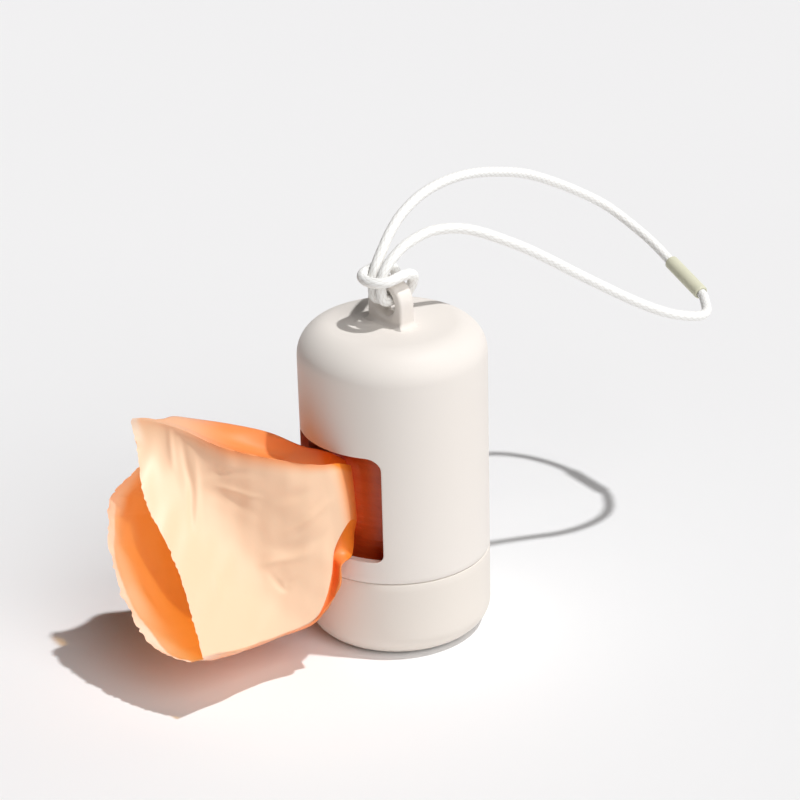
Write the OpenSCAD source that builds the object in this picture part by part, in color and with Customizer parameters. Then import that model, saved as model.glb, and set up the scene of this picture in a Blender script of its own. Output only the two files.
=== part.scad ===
// Bag dispenser: a capsule in two halves that push together, holding a roll of bags on a
// cardboard core. The first bag leaves through the window, and an elastic loop is hitched in
// the eyelet on top. +Z is up, the window faces -Y, and the origin is the centre of the
// resting face. Millimetres.

/* [Capsule] */
// Outside diameter of both halves
body_d = 44.5; // [42:0.5:60]
// Height of the capsule, without the eyelet lug
body_h = 77.4; // [72:0.1:110]
// Wall of both halves
wall = 2; // [1.2:0.1:2.4]
// Outside radius of the shoulder at the top
shoulder_r = 7.5; // [4:0.5:12]
// Outside radius of the edge at the foot
foot_r = 6; // [3:0.5:9]

/* [Base cap] */
// Height of the seam between the halves
seam_z = 20.2; // [16:0.1:26]
// Thickness of the floor
floor_t = 2.2; // [1.6:0.1:4]
// Width of the groove at the seam
seam_gap = 0.15; // [0.1:0.05:0.4]
// Bevel on both edges of the seam
seam_bevel = 0.25; // [0.1:0.05:0.5]
// How far the collar stands up inside the shell
collar_rise = 3.5; // [3:0.5:10]
// Thickness of the collar
collar_t = 1.4; // [1:0.1:1.8]
// Gap between the collar and the bore of the shell
collar_fit = 0.08; // [0.03:0.01:0.1]

/* [Window] */
// Width of the window
window_w = 28; // [24:0.5:32]
// Height of the window
window_h = 26.5; // [25:0.5:34]
// Sill of the window above the tip of the collar
window_rise = 2.1; // [0.3:0.1:4]
// Radius of the two upper corners
window_top_r = 3; // [0.5:0.5:6]
// Radius of the two lower corners
window_low_r = 2; // [0.5:0.5:6]

/* [Eyelet] */
// Width of the lug
lug_w = 11.4; // [10.5:0.1:13]
// Thickness of the lug
lug_t = 4.4; // [3:0.1:4.8]
// Diameter of the hole
eyelet_d = 6.4; // [6.1:0.1:7]
// Height of the hole's axis above the top of the capsule
eyelet_rise = 5.25; // [5:0.05:9]

/* [Bag roll] */
// Outside diameter of the roll
roll_d = 32; // [22:0.5:36]
// Width of the folded film, which is the height of the roll
roll_h = 58; // [50:0.5:60]
// Outside diameter of the cardboard core
core_d = 18; // [12:0.5:20]
// Wall of the core
core_wall = 1; // [0.5:0.1:1.5]
// Gap under the roll and the core
seat_gap = 0.3; // [0.1:0.05:0.5]
// Gap between the core and the first turn of film
core_fit = 0.05; // [0.02:0.01:0.1]

/* [Drawn bag] */
// Thickness of the bag's wall, which stands in for the film
film_t = 1; // [0.6:0.1:1.4]
// How far the front panel is bowed outward at the mouth
panel_crown = 3; // [2:0.1:4]
// Gap between the neck and the roll
neck_gap = 0.45; // [0.3:0.05:1]
// Space beside the neck in the window, on the side that is left open
neck_side = 5.5; // [4.5:0.5:7]
// Space under the neck in the window
neck_below = 1.7; // [1.5:0.1:3]
// Space over the neck in the window
neck_above = 1.2; // [1:0.1:3]

/* [Carry loop] */
// Diameter of the elastic cord
cord_d = 2.5; // [2:0.1:2.5]
// Outside diameter of the sleeve that joins the cord's ends
sleeve_d = 3.7; // [3.4:0.1:5]
// Gap between the cord and the sleeve
sleeve_fit = 0.05; // [0.02:0.01:0.15]

/* [Hidden] */
$fn = 96;

body_r = body_d / 2;
bore_r = body_r - wall;
collar_r = bore_r - collar_fit;
collar_top = seam_z + collar_rise;
// Length of the collar that is joined to the cap's wall, below the seam
collar_root = 3;
window_z = collar_top + window_rise;
eyelet_z = body_h + eyelet_rise;
lug_r = lug_w / 2;
roll_r = roll_d / 2;
core_r = core_d / 2;
roll_z = floor_t + seat_gap;
// Extra length of a cut, so that it passes its faces
over = 1;

// Sections of the drawn bag from the roll to the mouth, measured from the middle of the
// window's sill on the capsule's front. Each gives the front panel's lower and upper edge, the
// bottom of the tuck behind the upper edge, the back panel's upper and lower edge, the bottom
// of the tuck between the lower edges, and how far the back panel stands off behind them.
roll_front = body_r - roll_r - neck_gap;
neck_right = window_w / 2 - neck_side;
neck_low = neck_below;
neck_top = window_h - neck_above;
bag_sections = [
    [[neck_right - 3.9, roll_front - 0.25, neck_low + 6], [neck_right - 5.1, roll_front - 0.4, neck_top - 3.6],
     [neck_right - 6.1, roll_front - 0.35, neck_top - 4.6], [neck_right - 7.3, roll_front - 0.15, neck_top - 3.3],
     [neck_right - 4.9, roll_front - 0.25, neck_low + 2.5], [neck_right - 4.3, roll_front - 0.3, neck_low + 4.3],
     [-4, 0.2, 0]],
    [[neck_right, -0.25, neck_low + 9.1], [neck_right - 1.9, -1.5, neck_top + 0.2],
     [2.2, 1.6, neck_top - 4.9], [0.7, 1.8, neck_top - 0.2],
     [neck_right - 0.4, 0.7, neck_low], [neck_right - 2.1, 1.2, neck_low + 3.4],
     [-8.5, 1, -2]],
    [[7.9, -4.3, 5.1], [5.3, -6.2, neck_top + 1], [-0.5, -3.8, neck_top - 4.6], [-7, 1.6, neck_top - 1],
     [10.2, -4.3, 1.6], [6, -3.2, 2.2], [-8.5, 2, -5]],
    [[8.9, -6.8, -1.6], [-0.7, -13.5, 28.2], [-8.5, -6.8, 22.5], [-17.6, -1.3, 24.9],
     [10.3, -5.6, -3.8], [7, -4.8, -2.6], [-10, 4, -10]],
    [[8.3, -11.3, -10.2], [-11, -20.8, 30.4], [-17, -12.8, 25.2], [-27.8, -7.4, 26.8],
     [7.6, -10, -11.4], [7.4, -10.6, -10.4], [-13, 5, -15]],
    [[5.6, -19.1, -12.2], [-21, -24.5, 32.9], [-25.5, -19.5, 29.6], [-33.8, -15.1, 28.7],
     [4.6, -17.8, -13], [4.9, -18.3, -12.4], [-14.5, 4, -18]],
    [[5.4, -29.8, -11.4], [-28.6, -27.5, 33.6], [-30.2, -26, 32.2], [-31.9, -24.8, 31.8],
     [4.5, -28.8, -12.6], [4.9, -29.2, -12], [-14, -0.8, -16.6]],
    [[5.5, -42.2, -9], [-32.7, -29.9, 33], [-33, -29.3, 32.4], [-33.6, -29, 31.8],
     [4.6, -41.4, -10.2], [5, -41.7, -9.6], [-12.2, -7.1, -13.3]]
];
// Outline of the back panel at the mouth, as shares of its width and of its depth
belly_outline = [
    [0, 0], [0.1, 0.02], [0.185, 0.09], [0.205, 0.38], [0.215, 0.66], [0.27, 0.83], [0.36, 0.93],
    [0.46, 0.99], [0.56, 0.98], [0.66, 0.93], [0.76, 0.83], [0.86, 0.66], [0.935, 0.45],
    [0.98, 0.22], [1, 0]
];
// Direction in which the front panel is bowed
panel_facing = [0.7, -0.1, 0.7];
bag_steps = 3;
front_steps = 8;
tuck_steps = 4;
back_steps = 14;
under_steps = 2;
bag_sides = front_steps + tuck_steps + back_steps + under_steps;
// Section at which the bag opens, between its neck and its mouth
open_from = 2;

// Route of the cord, measured from the middle of the eyelet. It starts in the hole, goes up
// behind the lug, round the front as the collar of a lark's head hitch, back over the lug and
// through the hole, out along the loop, and down through the collar into the hole again.
cord_route = [
    [-1.3, 0, 0.7], [-1.4, 2.5, 0.8], [-1.9, 4, 2], [-2.6, 4.5, 4], [-3.2, 4, 6],
    [-3.6, 2.2, 7.2], [-3.8, -0.3, 7.6], [-3.8, -2.8, 7.4], [-3.5, -5, 7.1], [-2.1, -6.6, 6.9],
    [0.2, -7.2, 6.7], [2.6, -6.6, 6.7], [4.1, -4.9, 6.8], [4.4, -2.7, 7], [4.4, -0.4, 7.2],
    [4.2, 2, 7], [3.6, 3.9, 5.9], [2.7, 4.5, 4], [1.9, 4, 2], [1.4, 2.5, 0.8],
    [1.3, 0, 0.7], [1.3, -2.5, 0.8], [1.4, -3.9, 2], [1.5, -4.2, 4], [1.5, -4.1, 6.1],
    [1.5, -3.2, 8.2], [1.5, -1.4, 10.1], [1.5, 1, 11.7], [1.5, 4.5, 13.2], [2, 12, 14.4],
    [5, 20.5, 13.2], [9, 31, 8], [10.5, 40, 2.5], [11, 49, -3.4], [13, 59, -10],
    [16, 67.5, -15.5], [19, 74.5, -19.3], [20, 81.5, -22], [19, 88, -24], [16.5, 92.8, -24.8],
    [13, 96.5, -24.8], [9, 99.6, -24], [2, 101.5, -22], [-5, 103.5, -20], [-12, 104.1, -16.6],
    [-19, 102.8, -12.5], [-24.5, 99, -7.8], [-26.7, 91, -2.6], [-26.2, 80, 3.2], [-23.8, 67.5, 8.8],
    [-20, 52.5, 13.7], [-16.4, 40, 16.8], [-12.5, 28, 18.5], [-8.7, 17.5, 18.7], [-5.6, 9, 17.2],
    [-3.4, 3.5, 14.9], [-2, 0, 12.5], [-1.4, -2.4, 10], [-1.1, -3.7, 8], [-1.1, -4.2, 6],
    [-1.2, -4.2, 4], [-1.3, -3.9, 2], [-1.3, -2.5, 0.8], [-1.3, -0.3, 0.7]
];
cord_sides = 8;
// Longest step between two rings of the cord
cord_step = 9;
// Ends of the sleeve, as points of the route
sleeve_from = cord_route[41];
sleeve_to = cord_route[43];

function unit(v) = v / norm(v);

// Point at share t of the stretch from points[i] to points[i + 1] of a smooth curve
function smooth_point(points, i, t) =
    let (a = points[max(i - 1, 0)], b = points[i])
    let (c = points[i + 1], d = points[min(i + 2, len(points) - 1)])
    b + (c - a) * t / 2 + (2 * a - 5 * b + 4 * c - d) * t * t / 2 + (3 * b - 3 * c + d - a) * t * t * t / 2;

// Right half of an outline from low to top, with one radius below and another above
module half_outline(r, top, low, low_r, top_r) {
    translate([0, low + low_r])
        square([r, top - low - low_r - top_r]);
    translate([0, low])
        square([r - low_r, low_r + top_r]);
    translate([0, top - low_r - top_r])
        square([r - top_r, low_r + top_r]);
    intersection() {
        translate([r - low_r, low + low_r])
            circle(low_r);
        square([r, top]);
    }
    intersection() {
        translate([r - top_r, top - top_r])
            circle(top_r);
        square([r, top]);
    }
}

// Section of the capsule's wall, cut off above and below
module wall_section(from, to) {
    intersection() {
        difference() {
            half_outline(body_r, body_h, 0, foot_r, shoulder_r);
            half_outline(bore_r, body_h - wall, floor_t, foot_r - wall, shoulder_r - wall);
        }
        translate([0, from])
            square([body_r, to - from]);
    }
}

// Bevel on the outer edge of the seam
module seam_edge(z) {
    translate([body_r, z])
        rotate(45)
            square(seam_bevel * sqrt(2), center = true);
}

// Window with its own radius in the upper and in the lower corners
module window_outline() {
    for (side = [0, 1])
        mirror([side, 0])
            half_outline(window_w / 2, window_h, 0, window_low_r, window_top_r);
}

module window_cut() {
    translate([0, -roll_r + wall, window_z])
        rotate([90, 0, 0])
            linear_extrude(body_r - roll_r + wall + over)
                window_outline();
}

// Lug with an arched top, standing on the capsule
module lug() {
    translate([-lug_r, -lug_t / 2, body_h - wall / 2])
        cube([lug_w, lug_t, eyelet_rise + wall / 2]);
    translate([0, 0, eyelet_z])
        rotate([90, 0, 0])
            cylinder(r = lug_r, h = lug_t, center = true);
}

module eyelet() {
    translate([0, 0, eyelet_z])
        rotate([90, 0, 0])
            cylinder(d = eyelet_d, h = lug_t + 2 * over, center = true);
}

module canister_shell() {
    color([0.93, 0.91, 0.89])
        difference() {
            union() {
                rotate_extrude()
                    difference() {
                        wall_section(seam_z + seam_gap, body_h);
                        seam_edge(seam_z + seam_gap);
                    }
                lug();
            }
            eyelet();
            window_cut();
        }
}

// Ring that stands up inside the shell, joined to the cap's wall below the seam
module collar_section() {
    inner = collar_r - collar_t;
    translate([inner, seam_z - collar_root])
        square([collar_t, collar_root + collar_rise]);
    translate([inner, seam_z - collar_root])
        square([body_r - wall / 2 - inner, collar_root - seam_gap]);
}

module base_cap() {
    color([0.92, 0.89, 0.85])
        rotate_extrude()
            difference() {
                union() {
                    wall_section(0, seam_z);
                    collar_section();
                }
                seam_edge(seam_z);
            }
}

module bag_roll() {
    color([0.78, 0.45, 0.22])
        translate([0, 0, roll_z])
            difference() {
                cylinder(r = roll_r, h = roll_h);
                translate([0, 0, -over])
                    cylinder(r = core_r + core_fit, h = roll_h + 2 * over);
            }
}

module roll_core() {
    color([0.66, 0.52, 0.36])
        translate([0, 0, roll_z])
            difference() {
                cylinder(r = core_r, h = roll_h);
                translate([0, 0, -over])
                    cylinder(r = core_r - core_wall, h = roll_h + 2 * over);
            }
}

// Point at share t of the front panel, from its lower edge to its upper one
function front_point(section, reach, t) =
    section[0] + (section[1] - section[0]) * t + unit(panel_facing) * panel_crown * (0.1 + 0.9 * reach) * 4 * t * (1 - t);

// Point at share t of the way from one edge over the bottom of a tuck to the other edge
function tuck_point(from, bottom, to, t) =
    (1 - t) * (1 - t) * from + 2 * t * (1 - t) * (2 * bottom - (from + to) / 2) + t * t * to;

// Point at share t of the back panel: round near the roll, with the belly's outline at the mouth
function back_point(section, reach, t) =
    let (near = min(max((reach - 0.4) / 0.6, 0), 1), open = near * near * (3 - 2 * near))
    let (step = t * back_steps, i = min(floor(step), back_steps - 1))
    let (belly = belly_outline[i] + (belly_outline[i + 1] - belly_outline[i]) * (step - i))
    let (round = [(1 - cos(180 * t)) / 2, sin(180 * t)], share = round + (belly - round) * open)
    section[3] + (section[4] - section[3]) * share.x + section[6] * share.y;

// One ring of the bag; reach is 0 at the roll and 1 at the mouth
function bag_ring(section, reach) = [
    for (k = [0 : front_steps - 1]) front_point(section, reach, k / front_steps),
    for (k = [0 : tuck_steps - 1]) tuck_point(section[1], section[2], section[3], k / tuck_steps),
    for (k = [0 : back_steps - 1]) back_point(section, reach, k / back_steps),
    for (k = [0 : under_steps - 1]) tuck_point(section[4], section[5], section[0], k / under_steps)
];

// The same ring inside the film: it leaves out the tucks, which reach further in near the
// roll, and lies nearer to the middle
function hollow_ring(section, reach) =
    let (tucked = max(0.57 - reach, 0), front_from = 0.14 + 0.8 * tucked, front_to = 0.78 - 0.35 * tucked)
    let (back_from = 0.2 + 0.26 * max(reach - 0.5, 0) + 0.5 * tucked, back_to = 0.9 - 1.3 * tucked)
    let (low = front_point(section, reach, front_from), high = front_point(section, reach, front_to))
    let (upper = back_point(section, reach, back_from), lower = back_point(section, reach, back_to))
    let (middle = (front_point(section, reach, 0.5) + back_point(section, reach, 0.5)) / 2)
    [for (p = [
        for (k = [0 : front_steps - 1]) front_point(section, reach, front_from + (front_to - front_from) * k / front_steps),
        for (k = [0 : tuck_steps - 1]) high + (upper - high) * k / tuck_steps,
        for (k = [0 : back_steps - 1]) back_point(section, reach, back_from + (back_to - back_from) * k / back_steps),
        for (k = [0 : under_steps - 1]) lower + (low - lower) * k / under_steps
    ]) p + unit(middle - p) * film_t * (1 + 2 * tucked)];

function bag_rings(first, hollow) =
    let (last = len(bag_sections) - 1)
    [for (i = [first * bag_steps : last * bag_steps])
        let (from = min(floor(i / bag_steps), last - 1), reach = i / bag_steps / last)
        let (section = smooth_point(bag_sections, from, i / bag_steps - from))
        hollow ? hollow_ring(section, reach) : bag_ring(section, reach)];

// Triangles between the rings that start at the given point, wound either way
function skin(start, rings, sides, inward) =
    [for (i = [0 : rings - 2], k = [0 : sides - 1])
        let (n = (k + 1) % sides, a = start + i * sides)
        each inward
            ? [[a + k, a + n, a + sides + n], [a + k, a + sides + n, a + sides + k]]
            : [[a + k, a + sides + n, a + n], [a + k, a + sides + k, a + sides + n]]];

// Triangles that close a ring, all from one of its points
function end_face(start, sides, inward, apex = 0) =
    [for (k = [1 : sides - 2])
        let (a = start + (apex + k) % sides, b = start + (apex + k + 1) % sides)
        inward ? [start + apex, b, a] : [start + apex, a, b]];

// The bag is solid where it leaves the window and hollow from there to its open mouth
module drawn_bag() {
    outer = bag_rings(0, false);
    inner = bag_rings(open_from, true);
    inner_start = len(outer) * bag_sides;
    outer_mouth = inner_start - bag_sides;
    inner_mouth = inner_start + (len(inner) - 1) * bag_sides;
    mouth_face = [for (k = [0 : bag_sides - 1])
        let (n = (k + 1) % bag_sides)
        each [[outer_mouth + k, inner_mouth + k, inner_mouth + n],
              [outer_mouth + k, inner_mouth + n, outer_mouth + n]]];
    color([0.97, 0.80, 0.62])
        translate([0, -body_r, window_z])
            polyhedron(
                points = [for (ring = concat(outer, inner)) each ring],
                faces = concat(
                    skin(0, len(outer), bag_sides, false),
                    end_face(0, bag_sides, false, front_steps + tuck_steps / 2),
                    mouth_face,
                    skin(inner_start, len(inner), bag_sides, true),
                    end_face(inner_start, bag_sides, true)));
}

// Points along the route: one at each of its own points, and more where these lie far apart
function route_points(route, step) =
    [for (i = [0 : len(route) - 2])
        let (parts = ceil(norm(route[i + 1] - route[i]) / step))
        for (k = [0 : parts - 1]) smooth_point(route, i, k / parts),
     route[len(route) - 1]];

function tangents(p) =
    [for (i = [0 : len(p) - 1]) unit(p[min(i + 1, len(p) - 1)] - p[max(i - 1, 0)])];

// A side direction for each ring, carried along the route without twist
function side_directions(t, i, side) =
    let (next = unit(side - t[i] * (side * t[i])))
    i == len(t) - 1 ? [next] : concat([next], side_directions(t, i + 1, next));

module tube(route, d, sides, step) {
    p = route_points(route, step);
    t = tangents(p);
    side = side_directions(t, 0, [0, 0, 1]);
    points = [for (i = [0 : len(p) - 1], k = [0 : sides - 1])
        let (turn = 360 * k / sides)
        p[i] + (cos(turn) * side[i] + sin(turn) * cross(t[i], side[i])) * d / 2];
    polyhedron(
        points = points,
        faces = concat(
            skin(0, len(p), sides, false),
            end_face(0, sides, false),
            end_face((len(p) - 1) * sides, sides, true)));
}

module cord_loop() {
    color([0.95, 0.95, 0.94])
        translate([0, 0, eyelet_z])
            tube(cord_route, cord_d, cord_sides, cord_step);
}

// Sleeve over the joint of the cord's two ends, on the straight part of the loop
module cord_sleeve() {
    along = sleeve_to - sleeve_from;
    color([0.80, 0.80, 0.71])
        translate([0, 0, eyelet_z])
            translate(sleeve_from)
                rotate([0, acos(along.z / norm(along)), atan2(along.y, along.x)])
                    difference() {
                        cylinder(d = sleeve_d, h = norm(along));
                        translate([0, 0, -over])
                            cylinder(d = cord_d + 2 * sleeve_fit, h = norm(along) + 2 * over);
                    }
}

canister_shell();
base_cap();
bag_roll();
roll_core();
drawn_bag();
cord_loop();
cord_sleeve();
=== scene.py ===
"""Bag dispenser: a capsule in two halves with a roll of bags inside, the first bag drawn out of
its window, and an elastic loop hitched in the eyelet on top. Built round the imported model,
in metres; +Z is up and the window faces -Y."""

import bmesh
import bpy
import numpy as np
from mathutils import Matrix


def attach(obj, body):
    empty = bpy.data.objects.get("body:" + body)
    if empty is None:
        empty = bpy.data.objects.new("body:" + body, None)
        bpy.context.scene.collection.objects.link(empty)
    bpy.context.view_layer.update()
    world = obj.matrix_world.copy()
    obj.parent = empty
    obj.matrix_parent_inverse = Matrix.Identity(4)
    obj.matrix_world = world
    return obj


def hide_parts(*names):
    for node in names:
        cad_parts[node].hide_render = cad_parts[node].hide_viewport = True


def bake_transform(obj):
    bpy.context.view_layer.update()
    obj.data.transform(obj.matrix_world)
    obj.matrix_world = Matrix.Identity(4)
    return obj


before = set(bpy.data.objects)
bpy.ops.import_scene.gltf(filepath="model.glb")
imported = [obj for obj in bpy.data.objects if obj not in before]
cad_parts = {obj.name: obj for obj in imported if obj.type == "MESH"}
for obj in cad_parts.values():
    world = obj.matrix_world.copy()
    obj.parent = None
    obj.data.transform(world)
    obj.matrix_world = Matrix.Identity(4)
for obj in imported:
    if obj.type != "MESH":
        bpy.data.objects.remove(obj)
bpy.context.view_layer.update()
MM = 0.001
scene = bpy.context.scene

# ---------------------------------------------------------------------------------------
# Camera. It stands on the right of the window, half a metre off, and looks down at 24
# degrees. Its place is given in a frame that is turned with the view.
# ---------------------------------------------------------------------------------------
VIEW_TURN = np.radians(48)


def view_to_model(vectors):
    """Turns row vectors from the view's frame (x to the right, y away) to the model's."""
    c, s = np.cos(VIEW_TURN), np.sin(VIEW_TURN)
    return np.asarray(vectors, float) @ np.array([[c, s, 0], [-s, c, 0], [0, 0, 1]])


def camera_axes(pitch, yaw, roll):
    """Right, up and back directions of a camera that looks down by pitch, to the right by
    yaw, and is turned about its own axis by roll, in radians, in the view's frame."""
    forward = np.array([np.sin(yaw) * np.cos(pitch), np.cos(yaw) * np.cos(pitch), -np.sin(pitch)])
    right = np.array([np.cos(yaw), -np.sin(yaw), 0])
    up = np.cross(right, forward)
    c, s = np.cos(roll), np.sin(roll)
    return np.array([c * right + s * up, c * up - s * right, -forward])


camera_data = bpy.data.cameras.new("camera")
camera_data.sensor_width, camera_data.lens, camera_data.clip_end = 36, 108, 20
camera = bpy.data.objects.new("camera", camera_data)
scene.collection.objects.link(camera)
placed = np.eye(4)
placed[:3, :3] = view_to_model(camera_axes(*np.radians([23.84, 0.17, -1.53]))).T
placed[:3, 3] = view_to_model([0, -0.51528, 0.28516])
camera.matrix_world = Matrix(placed.tolist())
scene.camera = camera

# ---------------------------------------------------------------------------------------
# Carry loop: round elastic cord, 2.5 mm, white, braided over a rubber core. It is doubled
# and passed through itself in the eyelet, a lark's head hitch, and its two ends meet in a
# sleeve at the far end of the loop.
# ---------------------------------------------------------------------------------------
CORD_D = 2.5 * MM
EYELET = np.array([0, 0, 82.65])
# Middle of the cord in millimetres from the eyelet's middle, from one end to the other: once
# under the eyelet, round the hitch, back through the eyelet, and out along the loop
CORD_ROUTE = (EYELET + np.array([
    [-1.3, 0, 0.7], [-1.4, 2.5, 0.8], [-1.9, 4, 2], [-2.6, 4.5, 4], [-3.2, 4, 6],
    [-3.6, 2.2, 7.2], [-3.8, -0.3, 7.6], [-3.8, -2.8, 7.4], [-3.5, -5, 7.1], [-2.1, -6.6, 6.9],
    [0.2, -7.2, 6.7], [2.6, -6.6, 6.7], [4.1, -4.9, 6.8], [4.4, -2.7, 7], [4.4, -0.4, 7.2],
    [4.2, 2, 7], [3.6, 3.9, 5.9], [2.7, 4.5, 4], [1.9, 4, 2], [1.4, 2.5, 0.8],
    [1.3, 0, 0.7], [1.3, -2.5, 0.8], [1.4, -3.9, 2], [1.5, -4.2, 4], [1.5, -4.1, 6.1],
    [1.5, -3.2, 8.2], [1.5, -1.4, 10.1], [1.5, 1, 11.7], [1.5, 4.5, 13.2], [2, 12, 14.4],
    [5, 20.5, 13.2], [9, 31, 8], [10.5, 40, 2.5], [11, 49, -3.4], [13, 59, -10],
    [16, 67.5, -15.5], [19, 74.5, -19.3], [20, 81.5, -22], [19, 88, -24], [16.5, 92.8, -24.8],
    [13, 96.5, -24.8], [9, 99.6, -24], [2, 101.5, -22], [-5, 103.5, -20], [-12, 104.1, -16.6],
    [-19, 102.8, -12.5], [-24.5, 99, -7.8], [-26.7, 91, -2.6], [-26.2, 80, 3.2], [-23.8, 67.5, 8.8],
    [-20, 52.5, 13.7], [-16.4, 40, 16.8], [-12.5, 28, 18.5], [-8.7, 17.5, 18.7], [-5.6, 9, 17.2],
    [-3.4, 3.5, 14.9], [-2, 0, 12.5], [-1.4, -2.4, 10], [-1.1, -3.7, 8], [-1.1, -4.2, 6],
    [-1.2, -4.2, 4], [-1.3, -3.9, 2], [-1.3, -2.5, 0.8], [-1.3, -0.3, 0.7],
])) * MM
SLEEVE_FROM, SLEEVE_TO = CORD_ROUTE[41], CORD_ROUTE[43]
CORD_STEP, CORD_SIDES = 0.3 * MM, 28
# The braid's strands in each direction, and the length in millimetres in which one goes round
STRANDS, BRAID_PITCH = 8, 2.4
BRAID_RELIEF, BRAID_BUMP = 0.04 * MM, 0.03 * MM


class Socket:
    """A socket that gives a value. The arithmetic signs add Math nodes to its node tree."""

    def __init__(self, nodes, link):
        self.nodes, self.link = nodes, link

    def math(self, operation, *values):
        return self.nodes.node("ShaderNodeMath", {"operation": operation}, [self, *values])

    def __add__(self, other):
        return self.math("ADD", other)

    def __sub__(self, other):
        return self.math("SUBTRACT", other)

    def __rsub__(self, other):
        return self.nodes.node("ShaderNodeMath", {"operation": "SUBTRACT"}, [other, self])

    def __mul__(self, other):
        return self.math("MULTIPLY", other)

    __radd__, __rmul__ = __add__, __mul__

    def between(self, low, high):
        """0 up to low and 1 from high, with a smooth step between."""
        return self.nodes.node("ShaderNodeMapRange", {"interpolation_type": "SMOOTHSTEP"},
                               {"Value": self, "From Min": low, "From Max": high})


class Nodes:
    """A node tree of a material or a world."""

    def __init__(self, owner):
        owner.use_nodes = True
        self.tree = owner.node_tree

    def feed(self, node, socket, value):
        """Links a Socket to a node's input, or sets the input to a plain value."""
        if isinstance(value, Socket):
            self.tree.links.new(value.link, node.inputs[socket])
        else:
            node.inputs[socket].default_value = value

    def node(self, kind, settings=None, values=(), out=0):
        """Adds a node: its settings first, then the values or links of its sockets."""
        node = self.tree.nodes.new(kind)
        for key, value in (settings or {}).items():
            setattr(node, key, value)
        for socket, value in values.items() if isinstance(values, dict) else enumerate(values):
            self.feed(node, socket, value)
        return Socket(self, node.outputs[out])


class Finish(Nodes):
    """One material on a Principled shader, whose plain values are set by socket name."""

    def __init__(self, name, **plain):
        self.material = bpy.data.materials.new(name)
        super().__init__(self.material)
        self.shader = self.tree.nodes["Principled BSDF"]
        for socket, value in plain.items():
            self.feed(self.shader, socket.replace("_", " "), value)

    def object_place(self):
        return self.node("ShaderNodeTexCoord", out="Object")

    def uv_place(self, axis):
        """The piece's own UV map: X goes round it and Y along it."""
        uv = self.node("ShaderNodeTexCoord", out="UV")
        return self.node("ShaderNodeSeparateXYZ", None, [uv], axis)

    def noise(self, vector, scale, detail=2.0):
        return self.node("ShaderNodeTexNoise", None, {
            "Vector": vector, "Scale": scale, "Detail": detail})

    def stretched_noise(self, stretch, scale, detail):
        """Noise on the object's place, finer by stretch along each of the three axes."""
        place = self.node("ShaderNodeMapping", None,
                          {"Vector": self.object_place(), "Scale": stretch})
        return self.noise(place, scale, detail)

    def mix(self, factor, first, second):
        """Blend of two colours. The node's sockets for colours are 6, 7 and the third out."""
        return self.node("ShaderNodeMix", {"data_type": "RGBA"},
                         {0: factor, 6: first, 7: second}, 2)

    def color(self, value):
        self.feed(self.shader, "Base Color", value)

    def roughness(self, value):
        self.feed(self.shader, "Roughness", value)

    def bump(self, height, depth):
        """Raises the surface by height times depth, in metres."""
        self.feed(self.shader, "Normal", self.node("ShaderNodeBump", None, {
            "Height": height, "Distance": depth}))


def srgb(red, green, blue):
    """Linear colour with alpha of an sRGB colour in 0 to 255."""
    value = np.array([red, green, blue]) / 255
    linear = np.where(value <= 0.04045, value / 12.92, ((value + 0.055) / 1.055) ** 2.4)
    return (*linear.tolist(), 1.0)


def smooth_line(points, per_span):
    """Points on the uniform Catmull-Rom curve through the given ones: each span is the cubic
    whose tangents are half the steps between its neighbours."""
    p = np.asarray(points, float)
    ends = np.concatenate([p[:1], p, p[-1:]])
    t = (np.arange(per_span) / per_span)[None, :, None]
    a, b, c, d = (ends[k:len(p) - 1 + k][:, None] for k in range(4))
    curve = b + (c - a) * t / 2 + (2 * a - 5 * b + 4 * c - d) * t**2 / 2 \
        + (3 * b - 3 * c + d - a) * t**3 / 2
    return np.concatenate([curve.reshape(-1, p.shape[1]), p[-1:]])


def even_line(points, step):
    """The same line with its points a step apart along it, and their distances along it."""
    along = np.concatenate([[0], np.cumsum(np.linalg.norm(np.diff(points, axis=0), axis=1))])
    places = np.linspace(0, along[-1], int(np.ceil(along[-1] / step)) + 1)
    return np.stack([np.interp(places, along, axis) for axis in points.T], 1), places


def tube_frames(line):
    """Side and upper directions across a line, carried along it without twist: each side is
    the last one less its part along the line's direction there."""
    tangent = np.gradient(line, axis=0)
    tangent /= np.linalg.norm(tangent, axis=1)[:, None]
    side = np.empty_like(tangent)
    last = np.array([0.0, 0, 1])
    for k, t in enumerate(tangent):
        last = last - t * (last @ t)
        last /= np.linalg.norm(last)
        side[k] = last
    return side, np.cross(tangent, side)


def grid_quads(rows, cols, close=False):
    """Quads of a grid of points in row order, with each corner's row and column. Close joins
    the last column to the first. A face looks along its column step x its row step."""
    i, j = np.meshgrid(np.arange(rows - 1), np.arange(cols if close else cols - 1), indexing="ij")
    row = np.stack([i, i, i + 1, i + 1], -1).reshape(-1, 4)
    col = np.stack([j, j + 1, j + 1, j], -1).reshape(-1, 4)
    return row * cols + col % cols, row, col


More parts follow.
